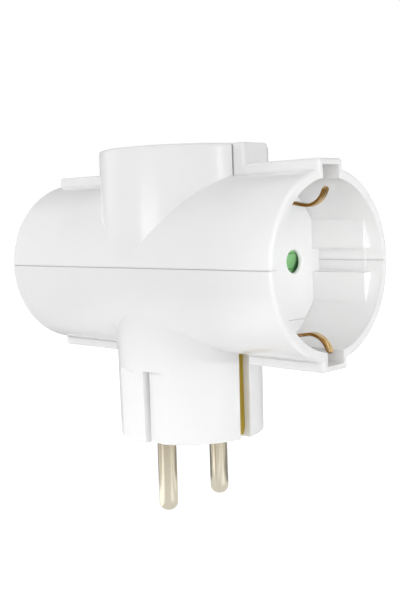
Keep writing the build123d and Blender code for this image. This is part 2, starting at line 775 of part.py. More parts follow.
# Rivets that join the earth strips to the webs of the side brackets
with BuildPart() as earth_rivets:
    for hand in hands.values():
        joint_spot = (hand * (strip_face - strip_t), 0, axis_h)
        joint = Plane(origin=joint_spot, x_dir=(0, hand, 0), z_dir=(hand, 0, 0))
        for height in (top_joint, plug_joint):
            with BuildSketch(joint):
                with Locations((0, height)):
                    Circle(earth_rivet_r)
            extrude(amount=2 * strip_t)
            with BuildSketch(joint):
                with Locations((0, height)):
                    Circle(earth_head_r)
            extrude(amount=-earth_head_t)
            with BuildSketch(joint.offset(2 * strip_t)):
                with Locations((0, height)):
                    Circle(earth_head_r)
            extrude(amount=earth_head_t)

finish(earth_rivets, "earth_rivets")
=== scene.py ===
import math

import bpy
import numpy as np
from bpy.props import FloatProperty, FloatVectorProperty, PointerProperty
from mathutils import Matrix, Vector


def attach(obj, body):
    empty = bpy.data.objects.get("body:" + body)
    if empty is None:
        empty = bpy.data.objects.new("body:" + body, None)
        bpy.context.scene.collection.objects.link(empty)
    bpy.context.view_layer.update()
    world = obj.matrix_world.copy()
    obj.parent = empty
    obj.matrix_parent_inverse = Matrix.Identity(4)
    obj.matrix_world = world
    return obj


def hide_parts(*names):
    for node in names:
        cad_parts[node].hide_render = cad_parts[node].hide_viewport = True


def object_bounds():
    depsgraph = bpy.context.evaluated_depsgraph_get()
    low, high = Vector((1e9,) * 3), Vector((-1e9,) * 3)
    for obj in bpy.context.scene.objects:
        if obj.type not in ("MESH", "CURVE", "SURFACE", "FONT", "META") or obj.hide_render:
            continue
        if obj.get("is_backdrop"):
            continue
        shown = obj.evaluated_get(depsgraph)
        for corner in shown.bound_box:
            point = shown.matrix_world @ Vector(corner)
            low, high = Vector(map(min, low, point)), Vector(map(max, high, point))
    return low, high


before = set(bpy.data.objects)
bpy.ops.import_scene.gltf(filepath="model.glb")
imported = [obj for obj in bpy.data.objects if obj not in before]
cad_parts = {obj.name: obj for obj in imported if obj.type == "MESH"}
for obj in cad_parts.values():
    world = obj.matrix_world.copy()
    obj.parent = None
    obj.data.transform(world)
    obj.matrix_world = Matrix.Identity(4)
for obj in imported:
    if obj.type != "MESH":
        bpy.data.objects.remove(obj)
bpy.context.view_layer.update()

bl_info = {
    "name": "Socket adapter looks",
    "version": (1, 0, 0),
    "blender": (4, 5, 0),
    "location": "3D View > Sidebar > Adapter",
    "description": "Finishes, earth strips, light and camera for a three-way earthed socket adapter",
    "category": "Object",
}

MM = 0.001

# CAD nodes by finish
SHELLS = ["upper_shell", "lower_shell"]
PLACES = ["right", "left", "top"]
PLATES = [f"{place}_socket_plate" for place in PLACES]
SIDE_SHUTTERS = ["right_shutter", "left_shutter"]
TOP_SHUTTER = ["top_shutter"]
SPRINGS = [f"{place}_shutter_spring" for place in PLACES]
PINS = ["front_pin", "rear_pin"]
BUSBARS = ["front_busbar", "rear_busbar"]
CONTACTS = [f"{place}_{row}_contact" for place in PLACES for row in ("front", "rear")]
PLUG_STRIPS = ["right_plug_earth_strip", "left_plug_earth_strip"]
RIVETS = ["contact_rivets", "earth_rivets"]

# Height of the barrel's axis in millimetres, and a point on that axis
AXIS_H = 43.4
BARREL_AXIS = (0.0, 0.0, AXIS_H * MM)

# Fine slots and corners of the shells that hold shade: the root of an upright rib, how far a socket's inside
# reaches from the barrel's axis, the corner between the plug's key and its flat, and the ledge above that flat
RIB_ROOT = (21.2 * MM, 4.72 * MM, 0.0)
INNER_REACH = 20.3 * MM
KEY_ROOT = (1.85 * MM, 16.6 * MM, 0.0)
KEY_SIDE = KEY_ROOT[0] + 0.05 * MM
FLAT_DEPTH = 0.15 * MM
LEDGE = 17.7 * MM

# Where each of those shades is full, where it is gone, and how strong it is
RIB_SHADE = (0.12 * MM, 0.26 * MM, 1.0)
SEAM_SHADE = (0.11 * MM, 0.16 * MM, 0.35)
KEY_SIDE_SHADE = (0.0, 1.5 * MM, 0.65)
KEY_SHADE = (0.05 * MM, 0.3 * MM, 0.65)
KEY_HEIGHT_SHADE = (14 * MM, -8 * MM, 1.0)
LEDGE_SHADE = (LEDGE - 0.3 * MM, LEDGE - 1.1 * MM, 1.0)
LEDGE_RUN_SHADE = (2 * MM, 7 * MM, 0.6)

# Painted shade at the creases of a shutter's ramp: how far its pin hole is from the socket's axis, where the
# painted shade at the rim's crease is full and gone and how strong it is, and the same for the painted shade at
# the long creases, which lie this far from the wing's middle
HOLE_OUT = 9.5 * MM
RAMP_RIM_SHADE = (3.15 * MM, 2.85 * MM, 0.8)
RAMP_HALF = 1.95 * MM
RAMP_CREASE_SHADE = (0.06 * MM, 0.22 * MM, 0.7)

# Sizes of patterns in the materials. The drawn and rolled lines are coarser than real ones, so that they show
CLOUD_SIZE = 14 * MM
FLOW_SIZE = 1.5 * MM
WIRE_LINE = 0.1 * MM
ROLLED_LINE = 0.3 * MM
STRIP_LINE = 0.4 * MM
PLATE_LINE = 0.5 * MM
MOTTLE_SIZE = 0.6 * MM
STREAK_SIZE = 0.3 * MM
ROLLED_STRETCH = (1.0, 1.0, 0.04)
PLATE_STRETCH = (1.0, 1.0, 0.03)

# How much the roughness of drawn metal differs between its lines
GLOSS_SPREAD = 0.06

# Nearness to an edge plus streaks, where a bent strip starts to darken, partly by toning and partly by painted
# shade, and where it is darkened in full
TONE_AND_SHADE_FROM = 0.85
TONE_AND_SHADE_TO = 1.5

# How far down from the plug's face the pins' plate is darker and browner, and how much at that face
DARKER_DEPTH = 14 * MM
DARKER_SHARE = 0.55


def linear(colour):
    """Turns an sRGB hex colour into linear red, green, blue and alpha."""
    parts = [int(colour[i:i + 2], 16) / 255 for i in (1, 3, 5)]
    return [p / 12.92 if p <= 0.04045 else ((p + 0.055) / 1.055) ** 2.4 for p in parts] + [1.0]


def add_node(tree, kind, inputs=None, **settings):
    """Adds a node, makes its settings, and gives each named input a value or a link.

    A link comes from a socket, or from the first output in use of another node.
    """
    made = tree.nodes.new("ShaderNode" + kind)
    for name, value in settings.items():
        setattr(made, name, value)
    for name, value in (inputs or {}).items():
        if isinstance(value, bpy.types.Node):
            value = next(socket for socket in value.outputs if socket.enabled)
        if isinstance(value, bpy.types.NodeSocket):
            tree.links.new(value, made.inputs[name])
        else:
            made.inputs[name].default_value = value
    return made


def new_material(name):
    """Gives an empty node material and its tree."""
    material = bpy.data.materials.new(name)
    material.use_nodes = True
    material.node_tree.nodes.clear()
    return material, material.node_tree


def dress(names, material):
    """Puts one finish on CAD nodes."""
    for name in names:
        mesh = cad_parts[name].data
        mesh.materials.clear()
        mesh.materials.append(material)


def colour_setting(name, description, default):
    """A colour that a user may change, written as sRGB hex."""
    return FloatVectorProperty(
        name=name, description=description, subtype="COLOR", size=4, min=0, max=1, default=linear(default)
    )


def size_setting(name, description, millimetres):
    """A length that a user may change, given in millimetres and kept in metres."""
    return FloatProperty(
        name=name, description=description, default=millimetres * MM, subtype="DISTANCE", unit="LENGTH"
    )


def level_setting(name, description, default, unit="NONE"):
    """A brightness that a user may change, where 1 is white, or the power of a narrow lamp in watts."""
    return FloatProperty(name=name, description=description, default=default, min=0, unit=unit)


class AdapterFinish(bpy.types.PropertyGroup):
    """Colours and grain sizes of the adapter's materials."""

    shell_white: colour_setting("Shell white", "Colour of the moulded shells", "#F1F1F1")
    shell_shade: colour_setting("Shell shade", "Colour of the thicker places of the shells", "#ECECEC")
    shell_line: colour_setting("Shell line", "Colour of the shade that fine slots in the shells hold", "#AAAAAA")
    shutter_green: colour_setting("Shutter green", "Colour of the shutters", "#93CC8D")
    shutter_dark: colour_setting("Shutter dark", "Colour of the shutters' darker flow lines", "#7DBB78")
    # Painted shade: this colour is painted along the creases and rims of the shutters' ramps
    shutter_crease_shade: colour_setting("Shutter line", "Colour of the creases round the shutters' ramps", "#3E6B42")
    brass_light: colour_setting("Brass light", "Colour of clean brass strip", "#C79A52")
    brass_dark: colour_setting("Brass dark", "Colour of brass strip where it has toned", "#8F6530")
    strip_light: colour_setting("Strip light", "Colour of the plug's yellow earth strips", "#F2DA6E")
    strip_dark: colour_setting("Strip dark", "Colour of the plug's earth strips where they have toned", "#A08222")
    nickel_light: colour_setting("Nickel light", "Colour of the pins' nickel plate", "#EBE4D2")
    nickel_dark: colour_setting("Nickel dark", "Colour of the drawn lines in the plate", "#D8CFBA")
    nickel_near_face: colour_setting("Nickel worn", "Colour of the plate near the plug's face", "#C4B596")
    # Painted light: the clips' middle colour stands in for highlights, and their edge colour is part toning and
    # part painted shade
    clip_brass_and_highlight: colour_setting("Clip light", "Colour along the middle of the bent earth clips", "#F8E4B0")
    clip_toned_and_shaded: colour_setting("Clip dark", "Colour at the edges of the bent earth clips", "#9A6A2C")
    steel_light: colour_setting("Steel light", "Colour of the springs' drawn wire", "#96969A")
    steel_dark: colour_setting("Steel dark", "Colour of the drawn lines in the wire", "#7C7C80")
    grain: size_setting("Mould grain", "Width of the grain that the mould leaves on the shells", 0.45)


class AdapterEarth(bpy.types.PropertyGroup):
    """Sizes of the sockets' earth brackets."""

    thickness: size_setting("Thickness", "Thickness of the brass strip", 0.8)
    width: size_setting("Width", "Width of the strip behind a socket's floor", 3.6)
    clip_width: size_setting("Clip width", "Width of the strip in front of a socket's floor", 2.0)
    edge_round: size_setting("Edge round", "Radius that stamping and tumbling leave on the strip's edges", 0.24)
    tip_round: size_setting("Tip round", "Radius of a clip's rounded end", 0.9)


class AdapterStage(bpy.types.PropertyGroup):
    """Camera and light."""

    lens: FloatProperty(
        name="Lens", description="Focal length for a sensor 36 mm wide", default=85.41, unit="CAMERA"
    )
    floor_tone: colour_setting("Floor", "Colour of the floor", "#E6E6E6")
    sky_level: level_setting("Sky", "Light from all round", 0.31)
    front_level: level_setting("Front box", "Low soft box in front of the barrel", 5.4)
    right_level: level_setting("Right box", "Soft box in front of the right socket", 3.5)
    glint_level: level_setting("Right glint", "Narrow box in front of the right socket that highlights show", 4.6)
    left_level: level_setting("Left box", "Large soft box to the left of the camera", 1.45)
    low_left_level: level_setting("Low left box", "Soft box low down to the left of the camera", 1.6)
    fill_level: level_setting("Fill box", "Large soft box above the camera", 1.95)
    high_level: level_setting("High box", "Soft box high above the right socket", 2.9)
    back_level: level_setting("Back boxes", "Two soft boxes behind the object", 2.8)
    snoot_level: level_setting("Snoot", "Narrow lamp that shines into the right socket", 3.6, "POWER")
    low_snoot_level: level_setting("Low snoot", "Narrow lamp that shines up into the right socket", 0.55, "POWER")
    plug_snoot_level: level_setting("Plug snoot", "Narrow lamp on the front of the plug", 2.1, "POWER")
    flank_snoot_level: level_setting("Flank snoot", "Narrow lamp on the right side of the plug", 4.0, "POWER")
    bounce_level: level_setting("Bounce", "Light that the floor throws up under the plug", 0.17)
    mirror_level: level_setting("Mirrored floor", "Brightness of the floor as bright metal mirrors it", 0.84)
    far_mirror_level: level_setting("Mirrored far floor", "Brightness of the far floor in reflections", 0.4)


def shade_lines(tree, place):
    """Is above 0 where fine slots and corners of the shells hold shade.

    Each one's shade is the product of the factors in its list, and the strongest of them holds. The shells are
    the same on both sides, so the slots are found by x, y and z without their signs.
    """
    ways = add_node(tree, "VectorMath", {0: place}, operation="ABSOLUTE")
    x, y, z = add_node(tree, "SeparateXYZ", {"Vector": ways}).outputs
    plan = add_node(tree, "VectorMath", {0: ways, 1: (1.0, 1.0, 0.0)}, operation="MULTIPLY")
    root = add_node(tree, "VectorMath", {0: plan, 1: RIB_ROOT}, operation="DISTANCE")
    corner = add_node(tree, "VectorMath", {0: plan, 1: KEY_ROOT}, operation="DISTANCE")
    from_axis = add_node(tree, "VectorMath", {0: place, 1: BARREL_AXIS}, operation="SUBTRACT")
    cross = add_node(tree, "VectorMath", {0: from_axis, 1: (0.0, 1.0, 1.0)}, operation="MULTIPLY")
    out = add_node(tree, "VectorMath", {0: cross}, operation="LENGTH")
    up = add_node(tree, "SeparateXYZ", {"Vector": from_axis}).outputs["Z"]
    off_seam = add_node(tree, "Math", {0: up}, operation="ABSOLUTE")

    at_rib, at_seam, beside_key, at_key, up_key, under_ledge, along_ledge = [
        add_node(
            tree, "MapRange",
            {"Value": value, "From Min": full, "From Max": gone, "To Min": strength, "To Max": 0.0},
        )
        for value, (full, gone, strength) in (
            (root, RIB_SHADE), (off_seam, SEAM_SHADE), (corner, KEY_SIDE_SHADE), (corner, KEY_SHADE),
            (z, KEY_HEIGHT_SHADE), (z, LEDGE_SHADE), (x, LEDGE_RUN_SHADE),
        )
    ]
    inside, on_key, below_ledge = [
        add_node(tree, "Math", {0: value, 1: limit}, operation="LESS_THAN")
        for value, limit in ((out, INNER_REACH), (x, KEY_SIDE), (z, LEDGE))
    ]
    on_flat = add_node(tree, "Math", {0: y, 1: KEY_ROOT[1], 2: FLAT_DEPTH}, operation="COMPARE")

    strongest = at_rib
    for shade, *factors in (
        (at_seam, inside),
        (beside_key, on_key, below_ledge, up_key),
        (at_key, below_ledge, up_key),
        (under_ledge, along_ledge, below_ledge, on_flat),
    ):
        for factor in factors:
            shade = add_node(tree, "Math", {0: shade, 1: factor}, operation="MULTIPLY")
        strongest = add_node(tree, "Math", {0: strongest, 1: shade}, operation="MAXIMUM")
    return strongest


def white_abs(finish, name, lined):
    """White ABS, injection moulded in a finely eroded mould: glossy, and its soft grain breaks up highlights."""
    material, tree = new_material(name)
    place = add_node(tree, "TexCoord").outputs["Object"]
    cloud = add_node(tree, "TexNoise", {"Vector": place, "Scale": 1 / CLOUD_SIZE, "Detail": 2.0})
    grain = add_node(tree, "TexNoise", {"Vector": place, "Scale": 1 / finish.grain, "Detail": 2.0})
    tone = add_node(
        tree, "Mix", {"Factor": cloud, "A": finish.shell_white, "B": finish.shell_shade}, data_type="RGBA"
    )
    if lined:
        tone = add_node(
            tree, "Mix", {"Factor": shade_lines(tree, place), "A": tone, "B": finish.shell_line}, data_type="RGBA"
        )
    gloss = add_node(tree, "MapRange", {"Value": cloud, "To Min": 0.15, "To Max": 0.21})
    relief = add_node(tree, "Bump", {"Height": grain, "Strength": 0.16, "Distance": 0.05 * MM})
    body = add_node(
        tree, "BsdfPrincipled", {"Base Color": tone, "Roughness": gloss, "IOR": 1.54, "Normal": relief}
    )
    add_node(tree, "OutputMaterial", {"Surface": body})
    return material


def green_plastic(finish, name, across):
    """Green polyamide, injection moulded: satin, with faint flow lines, and painted shade at the creases round
    the ramps.
    """
    material, tree = new_material(name)
    place = add_node(tree, "TexCoord").outputs["Object"]
    flow = add_node(tree, "TexNoise", {"Vector": place, "Scale": 1 / FLOW_SIZE, "Detail": 3.0})
    tone = add_node(
        tree, "Mix", {"Factor": flow, "A": finish.shutter_green, "B": finish.shutter_dark}, data_type="RGBA"
    )

    # Painted shade at the rim of the ramp in each pin hole, and at the creases along both sides of the wing
    from_axis = add_node(tree, "VectorMath", {0: place, 1: BARREL_AXIS}, operation="SUBTRACT")
    up = add_node(tree, "VectorMath", {0: from_axis, 1: across}, operation="DOT_PRODUCT")
    sideways = add_node(tree, "SeparateXYZ", {"Vector": from_axis}).outputs["Y"]
    along = add_node(tree, "Math", {0: sideways}, operation="ABSOLUTE")
    from_hole = add_node(tree, "Math", {0: along, 1: HOLE_OUT}, operation="SUBTRACT")
    spot = add_node(tree, "CombineXYZ", {"X": from_hole, "Y": up})
    out = add_node(tree, "VectorMath", {0: spot}, operation="LENGTH")
    height = add_node(tree, "Math", {0: up}, operation="ABSOLUTE")
    off_side = add_node(tree, "Math", {0: height, 1: RAMP_HALF}, operation="SUBTRACT")
    off_crease = add_node(tree, "Math", {0: off_side}, operation="ABSOLUTE")
    rim, side = [
        add_node(
            tree, "MapRange",
            {"Value": value, "From Min": full, "From Max": gone, "To Min": strength, "To Max": 0.0},
        )
        for value, (full, gone, strength) in ((out, RAMP_RIM_SHADE), (off_crease, RAMP_CREASE_SHADE))
    ]
    painted_crease_shade = add_node(tree, "Math", {0: rim, 1: side}, operation="MAXIMUM")
    shaded_tone = add_node(tree, "Mix", {"Factor": painted_crease_shade, "A": tone, "B": finish.shutter_crease_shade}, data_type="RGBA")

    relief = add_node(tree, "Bump", {"Height": flow, "Strength": 0.1, "Distance": 0.05 * MM})
    body = add_node(
        tree, "BsdfPrincipled", {"Base Color": shaded_tone, "Roughness": 0.42, "IOR": 1.53, "Normal": relief}
    )
    add_node(tree, "OutputMaterial", {"Surface": body})
    return material


def drawn_metal(name, light, dark, line, roughness):
    """Metal with fine rolled or drawn lines: noise that is stretched along the way the metal was drawn."""
    material, tree = new_material(name)
    place = add_node(tree, "TexCoord").outputs["Object"]
    drawn = add_node(tree, "Mapping", {"Vector": place, "Scale": ROLLED_STRETCH})
    lines = add_node(tree, "TexNoise", {"Vector": drawn, "Scale": 1 / line, "Detail": 3.0})
    tone = add_node(tree, "Mix", {"Factor": lines, "A": light, "B": dark}, data_type="RGBA")
    gloss = add_node(
        tree, "MapRange",
        {"Value": lines, "To Min": roughness - GLOSS_SPREAD, "To Max": roughness + GLOSS_SPREAD},
    )
    relief = add_node(tree, "Bump", {"Height": lines, "Strength": 0.08, "Distance": 0.02 * MM})
    body = add_node(
        tree, "BsdfPrincipled", {"Base Color": tone, "Metallic": 1.0, "Roughness": gloss, "Normal": relief}
    )
    add_node(tree, "OutputMaterial", {"Surface": body})
    return material


def bent_brass(finish):
    """Bent brass strip: painted lighter along its middle as a painted highlight, toned brown and painted darker
    as painted shade towards its sheared edges, with a fine mottle.

    The strip's own attributes say how near a point is to an edge or tip, and where it is along the strip.
    """
    material, tree = new_material("bent_brass_strip")
    place = add_node(tree, "TexCoord").outputs["Object"]
    edge = add_node(tree, "Attribute", attribute_name="edge").outputs["Fac"]
    lengthwise = add_node(tree, "Attribute", attribute_name="streak").outputs["Vector"]
    mottle = add_node(tree, "TexNoise", {"Vector": place, "Scale": 1 / MOTTLE_SIZE, "Detail": 3.0})
    streaks = add_node(tree, "TexNoise", {"Vector": lengthwise, "Scale": 1 / STREAK_SIZE, "Detail": 2.0})
    # Edges and tips are painted darker, part toning and part painted shade, and the middle stays light as a
    # painted highlight
    wear_and_shade = add_node(tree, "Math", {0: edge, 1: streaks}, operation="ADD")
    toned = add_node(tree, "MapRange", {"Value": wear_and_shade, "From Min": TONE_AND_SHADE_FROM, "From Max": TONE_AND_SHADE_TO})
    tone = add_node(
        tree, "Mix", {"Factor": toned, "A": finish.clip_brass_and_highlight, "B": finish.clip_toned_and_shaded}, data_type="RGBA"
    )
    gloss = add_node(tree, "MapRange", {"Value": mottle, "To Min": 0.14, "To Max": 0.30})
    relief = add_node(tree, "Bump", {"Height": mottle, "Strength": 0.2, "Distance": 0.05 * MM})
    body = add_node(
        tree, "BsdfPrincipled", {"Base Color": tone, "Metallic": 1.0, "Roughness": gloss, "Normal": relief}
    )
    add_node(tree, "OutputMaterial", {"Surface": body})
    return material


def nickel_plate(finish):
    """Nickel plated brass, turned and drawn: fine upright lines, duller and browner towards the plug."""
    material, tree = new_material("nickel_plated_brass")
    place = add_node(tree, "TexCoord").outputs["Object"]
    drawn = add_node(tree, "Mapping", {"Vector": place, "Scale": PLATE_STRETCH})
    lines = add_node(tree, "TexNoise", {"Vector": drawn, "Scale": 1 / PLATE_LINE, "Detail": 3.0})
    tone = add_node(
        tree, "Mix", {"Factor": lines, "A": finish.nickel_light, "B": finish.nickel_dark}, data_type="RGBA"
    )
    height = add_node(tree, "SeparateXYZ", {"Vector": place}).outputs["Z"]
    root = add_node(
        tree, "MapRange", {"Value": height, "From Min": -DARKER_DEPTH, "From Max": 0.0, "To Max": DARKER_SHARE}
    )
    darkened = add_node(tree, "Mix", {"Factor": root, "A": tone, "B": finish.nickel_near_face}, data_type="RGBA")
    gloss = add_node(tree, "MapRange", {"Value": lines, "To Min": 0.16, "To Max": 0.26})
    body = add_node(tree, "BsdfPrincipled", {"Base Color": darkened, "Metallic": 1.0, "Roughness": gloss})
    add_node(tree, "OutputMaterial", {"Surface": body})
    return material


class ADAPTER_OT_shells(bpy.types.Operator):
    """Finishes the two shells and the socket floors in white plastic"""

    bl_idname = "adapter.shells"
    bl_label = "Shells and socket floors"

    def execute(self, context):
        finish = context.scene.adapter_finish
        dress(SHELLS, white_abs(finish, "white_moulded_abs", lined=True))
        dress(PLATES, white_abs(finish, "white_moulded_floor_abs", lined=False))
        return {"FINISHED"}


class ADAPTER_OT_shutters(bpy.types.Operator):
    """Finishes the turning shutters in green plastic"""

    bl_idname = "adapter.shutters"
    bl_label = "Shutters"

    def execute(self, context):
        finish = context.scene.adapter_finish
        dress(SIDE_SHUTTERS, green_plastic(finish, "green_moulded_polyamide", across=(0.0, 0.0, 1.0)))
        dress(TOP_SHUTTER, green_plastic(finish, "green_moulded_top_polyamide", across=(1.0, 0.0, 0.0)))
        return {"FINISHED"}


class ADAPTER_OT_springs(bpy.types.Operator):
    """Finishes the shutters' return springs in drawn steel"""

    bl_idname = "adapter.springs"
    bl_label = "Springs"

    def execute(self, context):
        finish = context.scene.adapter_finish
        steel = drawn_metal(
            "drawn_spring_steel", finish.steel_light, finish.steel_dark, line=WIRE_LINE, roughness=0.35
        )
        dress(SPRINGS, steel)
        return {"FINISHED"}


class ADAPTER_OT_pins(bpy.types.Operator):
    """Finishes the plug's pins in nickel plate"""

    bl_idname = "adapter.pins"
    bl_label = "Pins"

    def execute(self, context):
        dress(PINS, nickel_plate(context.scene.adapter_finish))
        return {"FINISHED"}


class ADAPTER_OT_brass(bpy.types.Operator):
    """Finishes the busbars, contacts, rivets and the plug's earth strips in rolled brass"""

    bl_idname = "adapter.brass"
    bl_label = "Brass"

    def execute(self, context):
        finish = context.scene.adapter_finish
        brass = drawn_metal(
            "rolled_brass", finish.brass_light, finish.brass_dark, line=ROLLED_LINE, roughness=0.3
        )
        yellow = drawn_metal(
            "yellow_rolled_brass", finish.strip_light, finish.strip_dark, line=STRIP_LINE, roughness=0.28
        )
        dress(BUSBARS + CONTACTS + RIVETS, brass)
        dress(PLUG_STRIPS, yellow)
        return {"FINISHED"}


# Route of an earth bracket's middle line in millimetres: how far along the socket's axis, how far across it,
# and the radius of the bend there. The first and last points are the tips of the clips.
SIDE_ROUTE = [
    (45.0, 17.7, 0), (42.7, 13.1, 5), (29.7, 15.2, 3), (22.8, 15.2, 1.2), (22.8, 8.6, 1.2), (17.0, 8.6, 1.2),
    (17.0, -17.6, 1.2), (29.7, -17.6, 3), (42.7, -15.5, 5), (45.0, -20.1, 0),
]
TOP_ROUTE = [
    (27.9, -18.9, 0), (25.6, -14.3, 5), (12.6, -16.2, 3), (1.4, -16.2, 1.2),
    (1.4, 16.2, 1.2), (12.6, 16.2, 3), (25.6, 14.3, 5), (27.9, 18.9, 0),
]

# In millimetres: how far along its axis a socket's floor is, how far behind the floor the strip's shoulder ends,
# and how long the shoulder is
SIDE_FLOOR = 27.7
TOP_FLOOR = 10.6
SHOULDER = 1.4
SHOULDER_RUN = 1.2

# Each bracket's socket, route, floor, the way along the socket's axis, and the way across it
BRACKETS = [
    ("right", SIDE_ROUTE, SIDE_FLOOR, (1, 0, 0), (0, 0, 1)),
    ("left", SIDE_ROUTE, SIDE_FLOOR, (-1, 0, 0), (0, 0, 1)),
    ("top", TOP_ROUTE, TOP_FLOOR, (0, 0, 1), (1, 0, 0)),
]

# Points on a bend, rows on a rounded tip, millimetres between the rows of a run, points on a section's corner,
# and how much longer than wide the streaks are
BEND_POINTS = 16
TIP_ROWS = 14
RUN_STEP = 0.25
CORNER_POINTS = 6
STREAK_STRETCH = 8


def rounded_route(route):
    """Route through corners, with each corner between its ends rounded to an arc.

    With unit directions a before and b after a corner, and t the angle between them, an arc of radius r starts
    r * tan(t / 2) before the corner. Its points are start + r * (a * sin(u) + n * (1 - cos(u))) for u from 0 to
    t, where n stands square to a on the side that the route turns to.
    """
    route = np.asarray(route, float)
    corners, radii = route[:, :2], route[1:-1, 2:]
    legs = np.diff(corners, axis=0)
    ways = legs / np.linalg.norm(legs, axis=1, keepdims=True)
    a, b = ways[:-1], ways[1:]
    turn = a[:, 0] * b[:, 1] - a[:, 1] * b[:, 0]
    t = np.arctan2(np.abs(turn), (a * b).sum(axis=1))
    n = np.sign(turn)[:, None] * np.stack([-a[:, 1], a[:, 0]], axis=1)
    start = corners[1:-1] - a * radii * np.tan(t / 2)[:, None]
    u = (t[:, None] * np.linspace(0, 1, BEND_POINTS))[..., None]
    arcs = start[:, None] + radii[:, None] * (np.sin(u) * a[:, None] + (1 - np.cos(u)) * n[:, None])
    return np.concatenate([corners[:1], arcs.reshape(-1, 2), corners[-1:]])


def strip_mesh(name, route, floor, ahead, across, sizes):
    """Brass strip with rounded edges, swept along a route.

    The section is a rounded rectangle: corner middles at (+-(h - r), +-(w - r)) with arcs of radius r about them,
    h half the thickness and w half the width. Towards a tip that is d away, w follows a quarter circle of the
    tip's radius and h one of the edge's radius, and w eases from the wide strip to the clip across the shoulder.
    """
    line = rounded_route(route)
    run = np.concatenate([[0], np.cumsum(np.linalg.norm(np.diff(line, axis=0), axis=1))])
    length = run[-1]
    edge, tip = sizes.edge_round / MM, sizes.tip_round / MM
    lead = tip * (1 - np.cos(np.linspace(0, math.pi / 2, TIP_ROWS)))
    at = np.concatenate([lead, np.arange(tip + RUN_STEP, length - tip, RUN_STEP), length - lead[::-1]])
    spine = np.stack([np.interp(at, run, line[:, 0]), np.interp(at, run, line[:, 1])], axis=1)
    way = np.gradient(spine, at, axis=0)
    way /= np.linalg.norm(way, axis=1, keepdims=True)
    square = np.stack([-way[:, 1], way[:, 0]], axis=1)

    # Half width and half thickness along the strip
    ease = np.clip((spine[:, 0] - (floor - SHOULDER - SHOULDER_RUN)) / SHOULDER_RUN, 0, 1)
    ease = ease * ease * (3 - 2 * ease)
    wide = (sizes.width + (sizes.clip_width - sizes.width) * ease) / MM / 2
    from_tip = np.minimum(at, length - at)
    plan = np.clip(tip - from_tip, 0, tip)
    w = wide - tip + np.sqrt(np.maximum(tip**2 - plan**2, 0))
    profile = np.clip(edge - from_tip, 0, edge)
    h = sizes.thickness / MM / 2 - edge + np.sqrt(np.maximum(edge**2 - profile**2, 0))
    r = np.minimum(edge, np.minimum(w, h))[:, None]

    # Section round the strip, and its points in the adapter's frame
    around = np.linspace(0, math.pi / 2, CORNER_POINTS)[None] + np.arange(4)[:, None] * math.pi / 2
    up = np.repeat([1, -1, -1, 1], CORNER_POINTS)[None]
    out = np.repeat([1, 1, -1, -1], CORNER_POINTS)[None]
    u = up * (h[:, None] - r) + r * np.cos(around.ravel())[None]
    v = out * (w[:, None] - r) + r * np.sin(around.ravel())[None]
    flat = spine[:, None] + square[:, None] * u[..., None]
    points = (
        np.array([0, 0, AXIS_H]) + flat[..., :1] * np.array(ahead) + flat[..., 1:] * np.array(across)
        + v[..., None] * np.array([0, 1, 0])
    ) * MM

    # Quads between the sections, and a face at each tip
    rows, ring = u.shape
    index = np.arange(rows * ring).reshape(rows, ring)
    near, far = index[:-1], index[1:]
    quads = np.stack([near, np.roll(near, -1, 1), np.roll(far, -1, 1), far], axis=-1).reshape(-1, 4)
    faces = quads.tolist() + [index[0][::-1].tolist(), index[-1].tolist()]
    mesh = bpy.data.meshes.new(name)
    mesh.from_pydata(points.reshape(-1, 3).tolist(), [], faces)
    corner = points.reshape(-1, 3)[quads] - points.mean(axis=(0, 1))
    volume = np.einsum("ij,ij->i", corner[:, 0], np.cross(corner[:, 1], corner[:, 2])).sum()
    if volume < 0:
        mesh.flip_normals()
    mesh.shade_smooth()

    # How near a point is to an edge or tip, and its place along the strip
    nearness = np.maximum(np.abs(v) / wide[:, None], np.clip(1 - from_tip / tip, 0, 1)[:, None])
    lengthwise = np.stack([u, v, np.broadcast_to(at[:, None] / STREAK_STRETCH, v.shape)], axis=-1) * MM
    mesh.attributes.new("edge", "FLOAT", "POINT").data.foreach_set("value", nearness.ravel())
    mesh.attributes.new("streak", "FLOAT_VECTOR", "POINT").data.foreach_set("vector", lengthwise.ravel())
    return mesh


class ADAPTER_OT_earth(bpy.types.Operator):
    """Makes the sockets' earth brackets from bent brass strip with rounded edges"""

    bl_idname = "adapter.earth"
    bl_label = "Earth brackets"

    def execute(self, context):
        scene = context.scene
        brass = bent_brass(scene.adapter_finish)
        for side, route, floor, ahead, across in BRACKETS:
            mesh = strip_mesh(f"{side}_earth_strip", route, floor, ahead, across, scene.adapter_earth)
            mesh.materials.append(brass)
            piece = bpy.data.objects.new(f"{side}_earth_strip", mesh)
            scene.collection.objects.link(piece)
            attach(piece, "housing")
            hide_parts(f"{side}_earth_bracket")
        return {"FINISHED"}


# Soft boxes: azimuth and elevation in degrees as seen from the middle of the object, distance, width and height
# in metres, the setting that holds the brightness, and whether highlights show the box
MIDDLE = Vector((0.0, 0.0, 0.05))
SOFT_BOXES = [
    ("front_box", -3.0, -1.5, 0.8, 0.36, 0.08, "front_level", True),
    ("right_box", 88.0, 5.0, 0.8, 0.26, 0.12, "right_level", False),
    ("right_glint", 93.0, 5.0, 0.8, 0.08, 0.12, "glint_level", True),
    ("high_box", 96.0, 40.0, 0.8, 0.40, 0.40, "high_level", False),
    ("left_box", -50.0, 30.0, 0.32, 0.20, 0.20, "left_level", False),
    ("low_left_box", -35.0, 0.0, 0.32, 0.20, 0.06, "low_left_level", False),
    ("fill_box", 28.0, 12.0, 0.9, 0.60, 0.60, "fill_level", False),
    ("back_box", 205.0, 25.0, 0.9, 0.60, 0.60, "back_level", False),
    ("back_side_box", 262.0, 25.0, 0.9, 0.60, 0.60, "back_level", False),
]

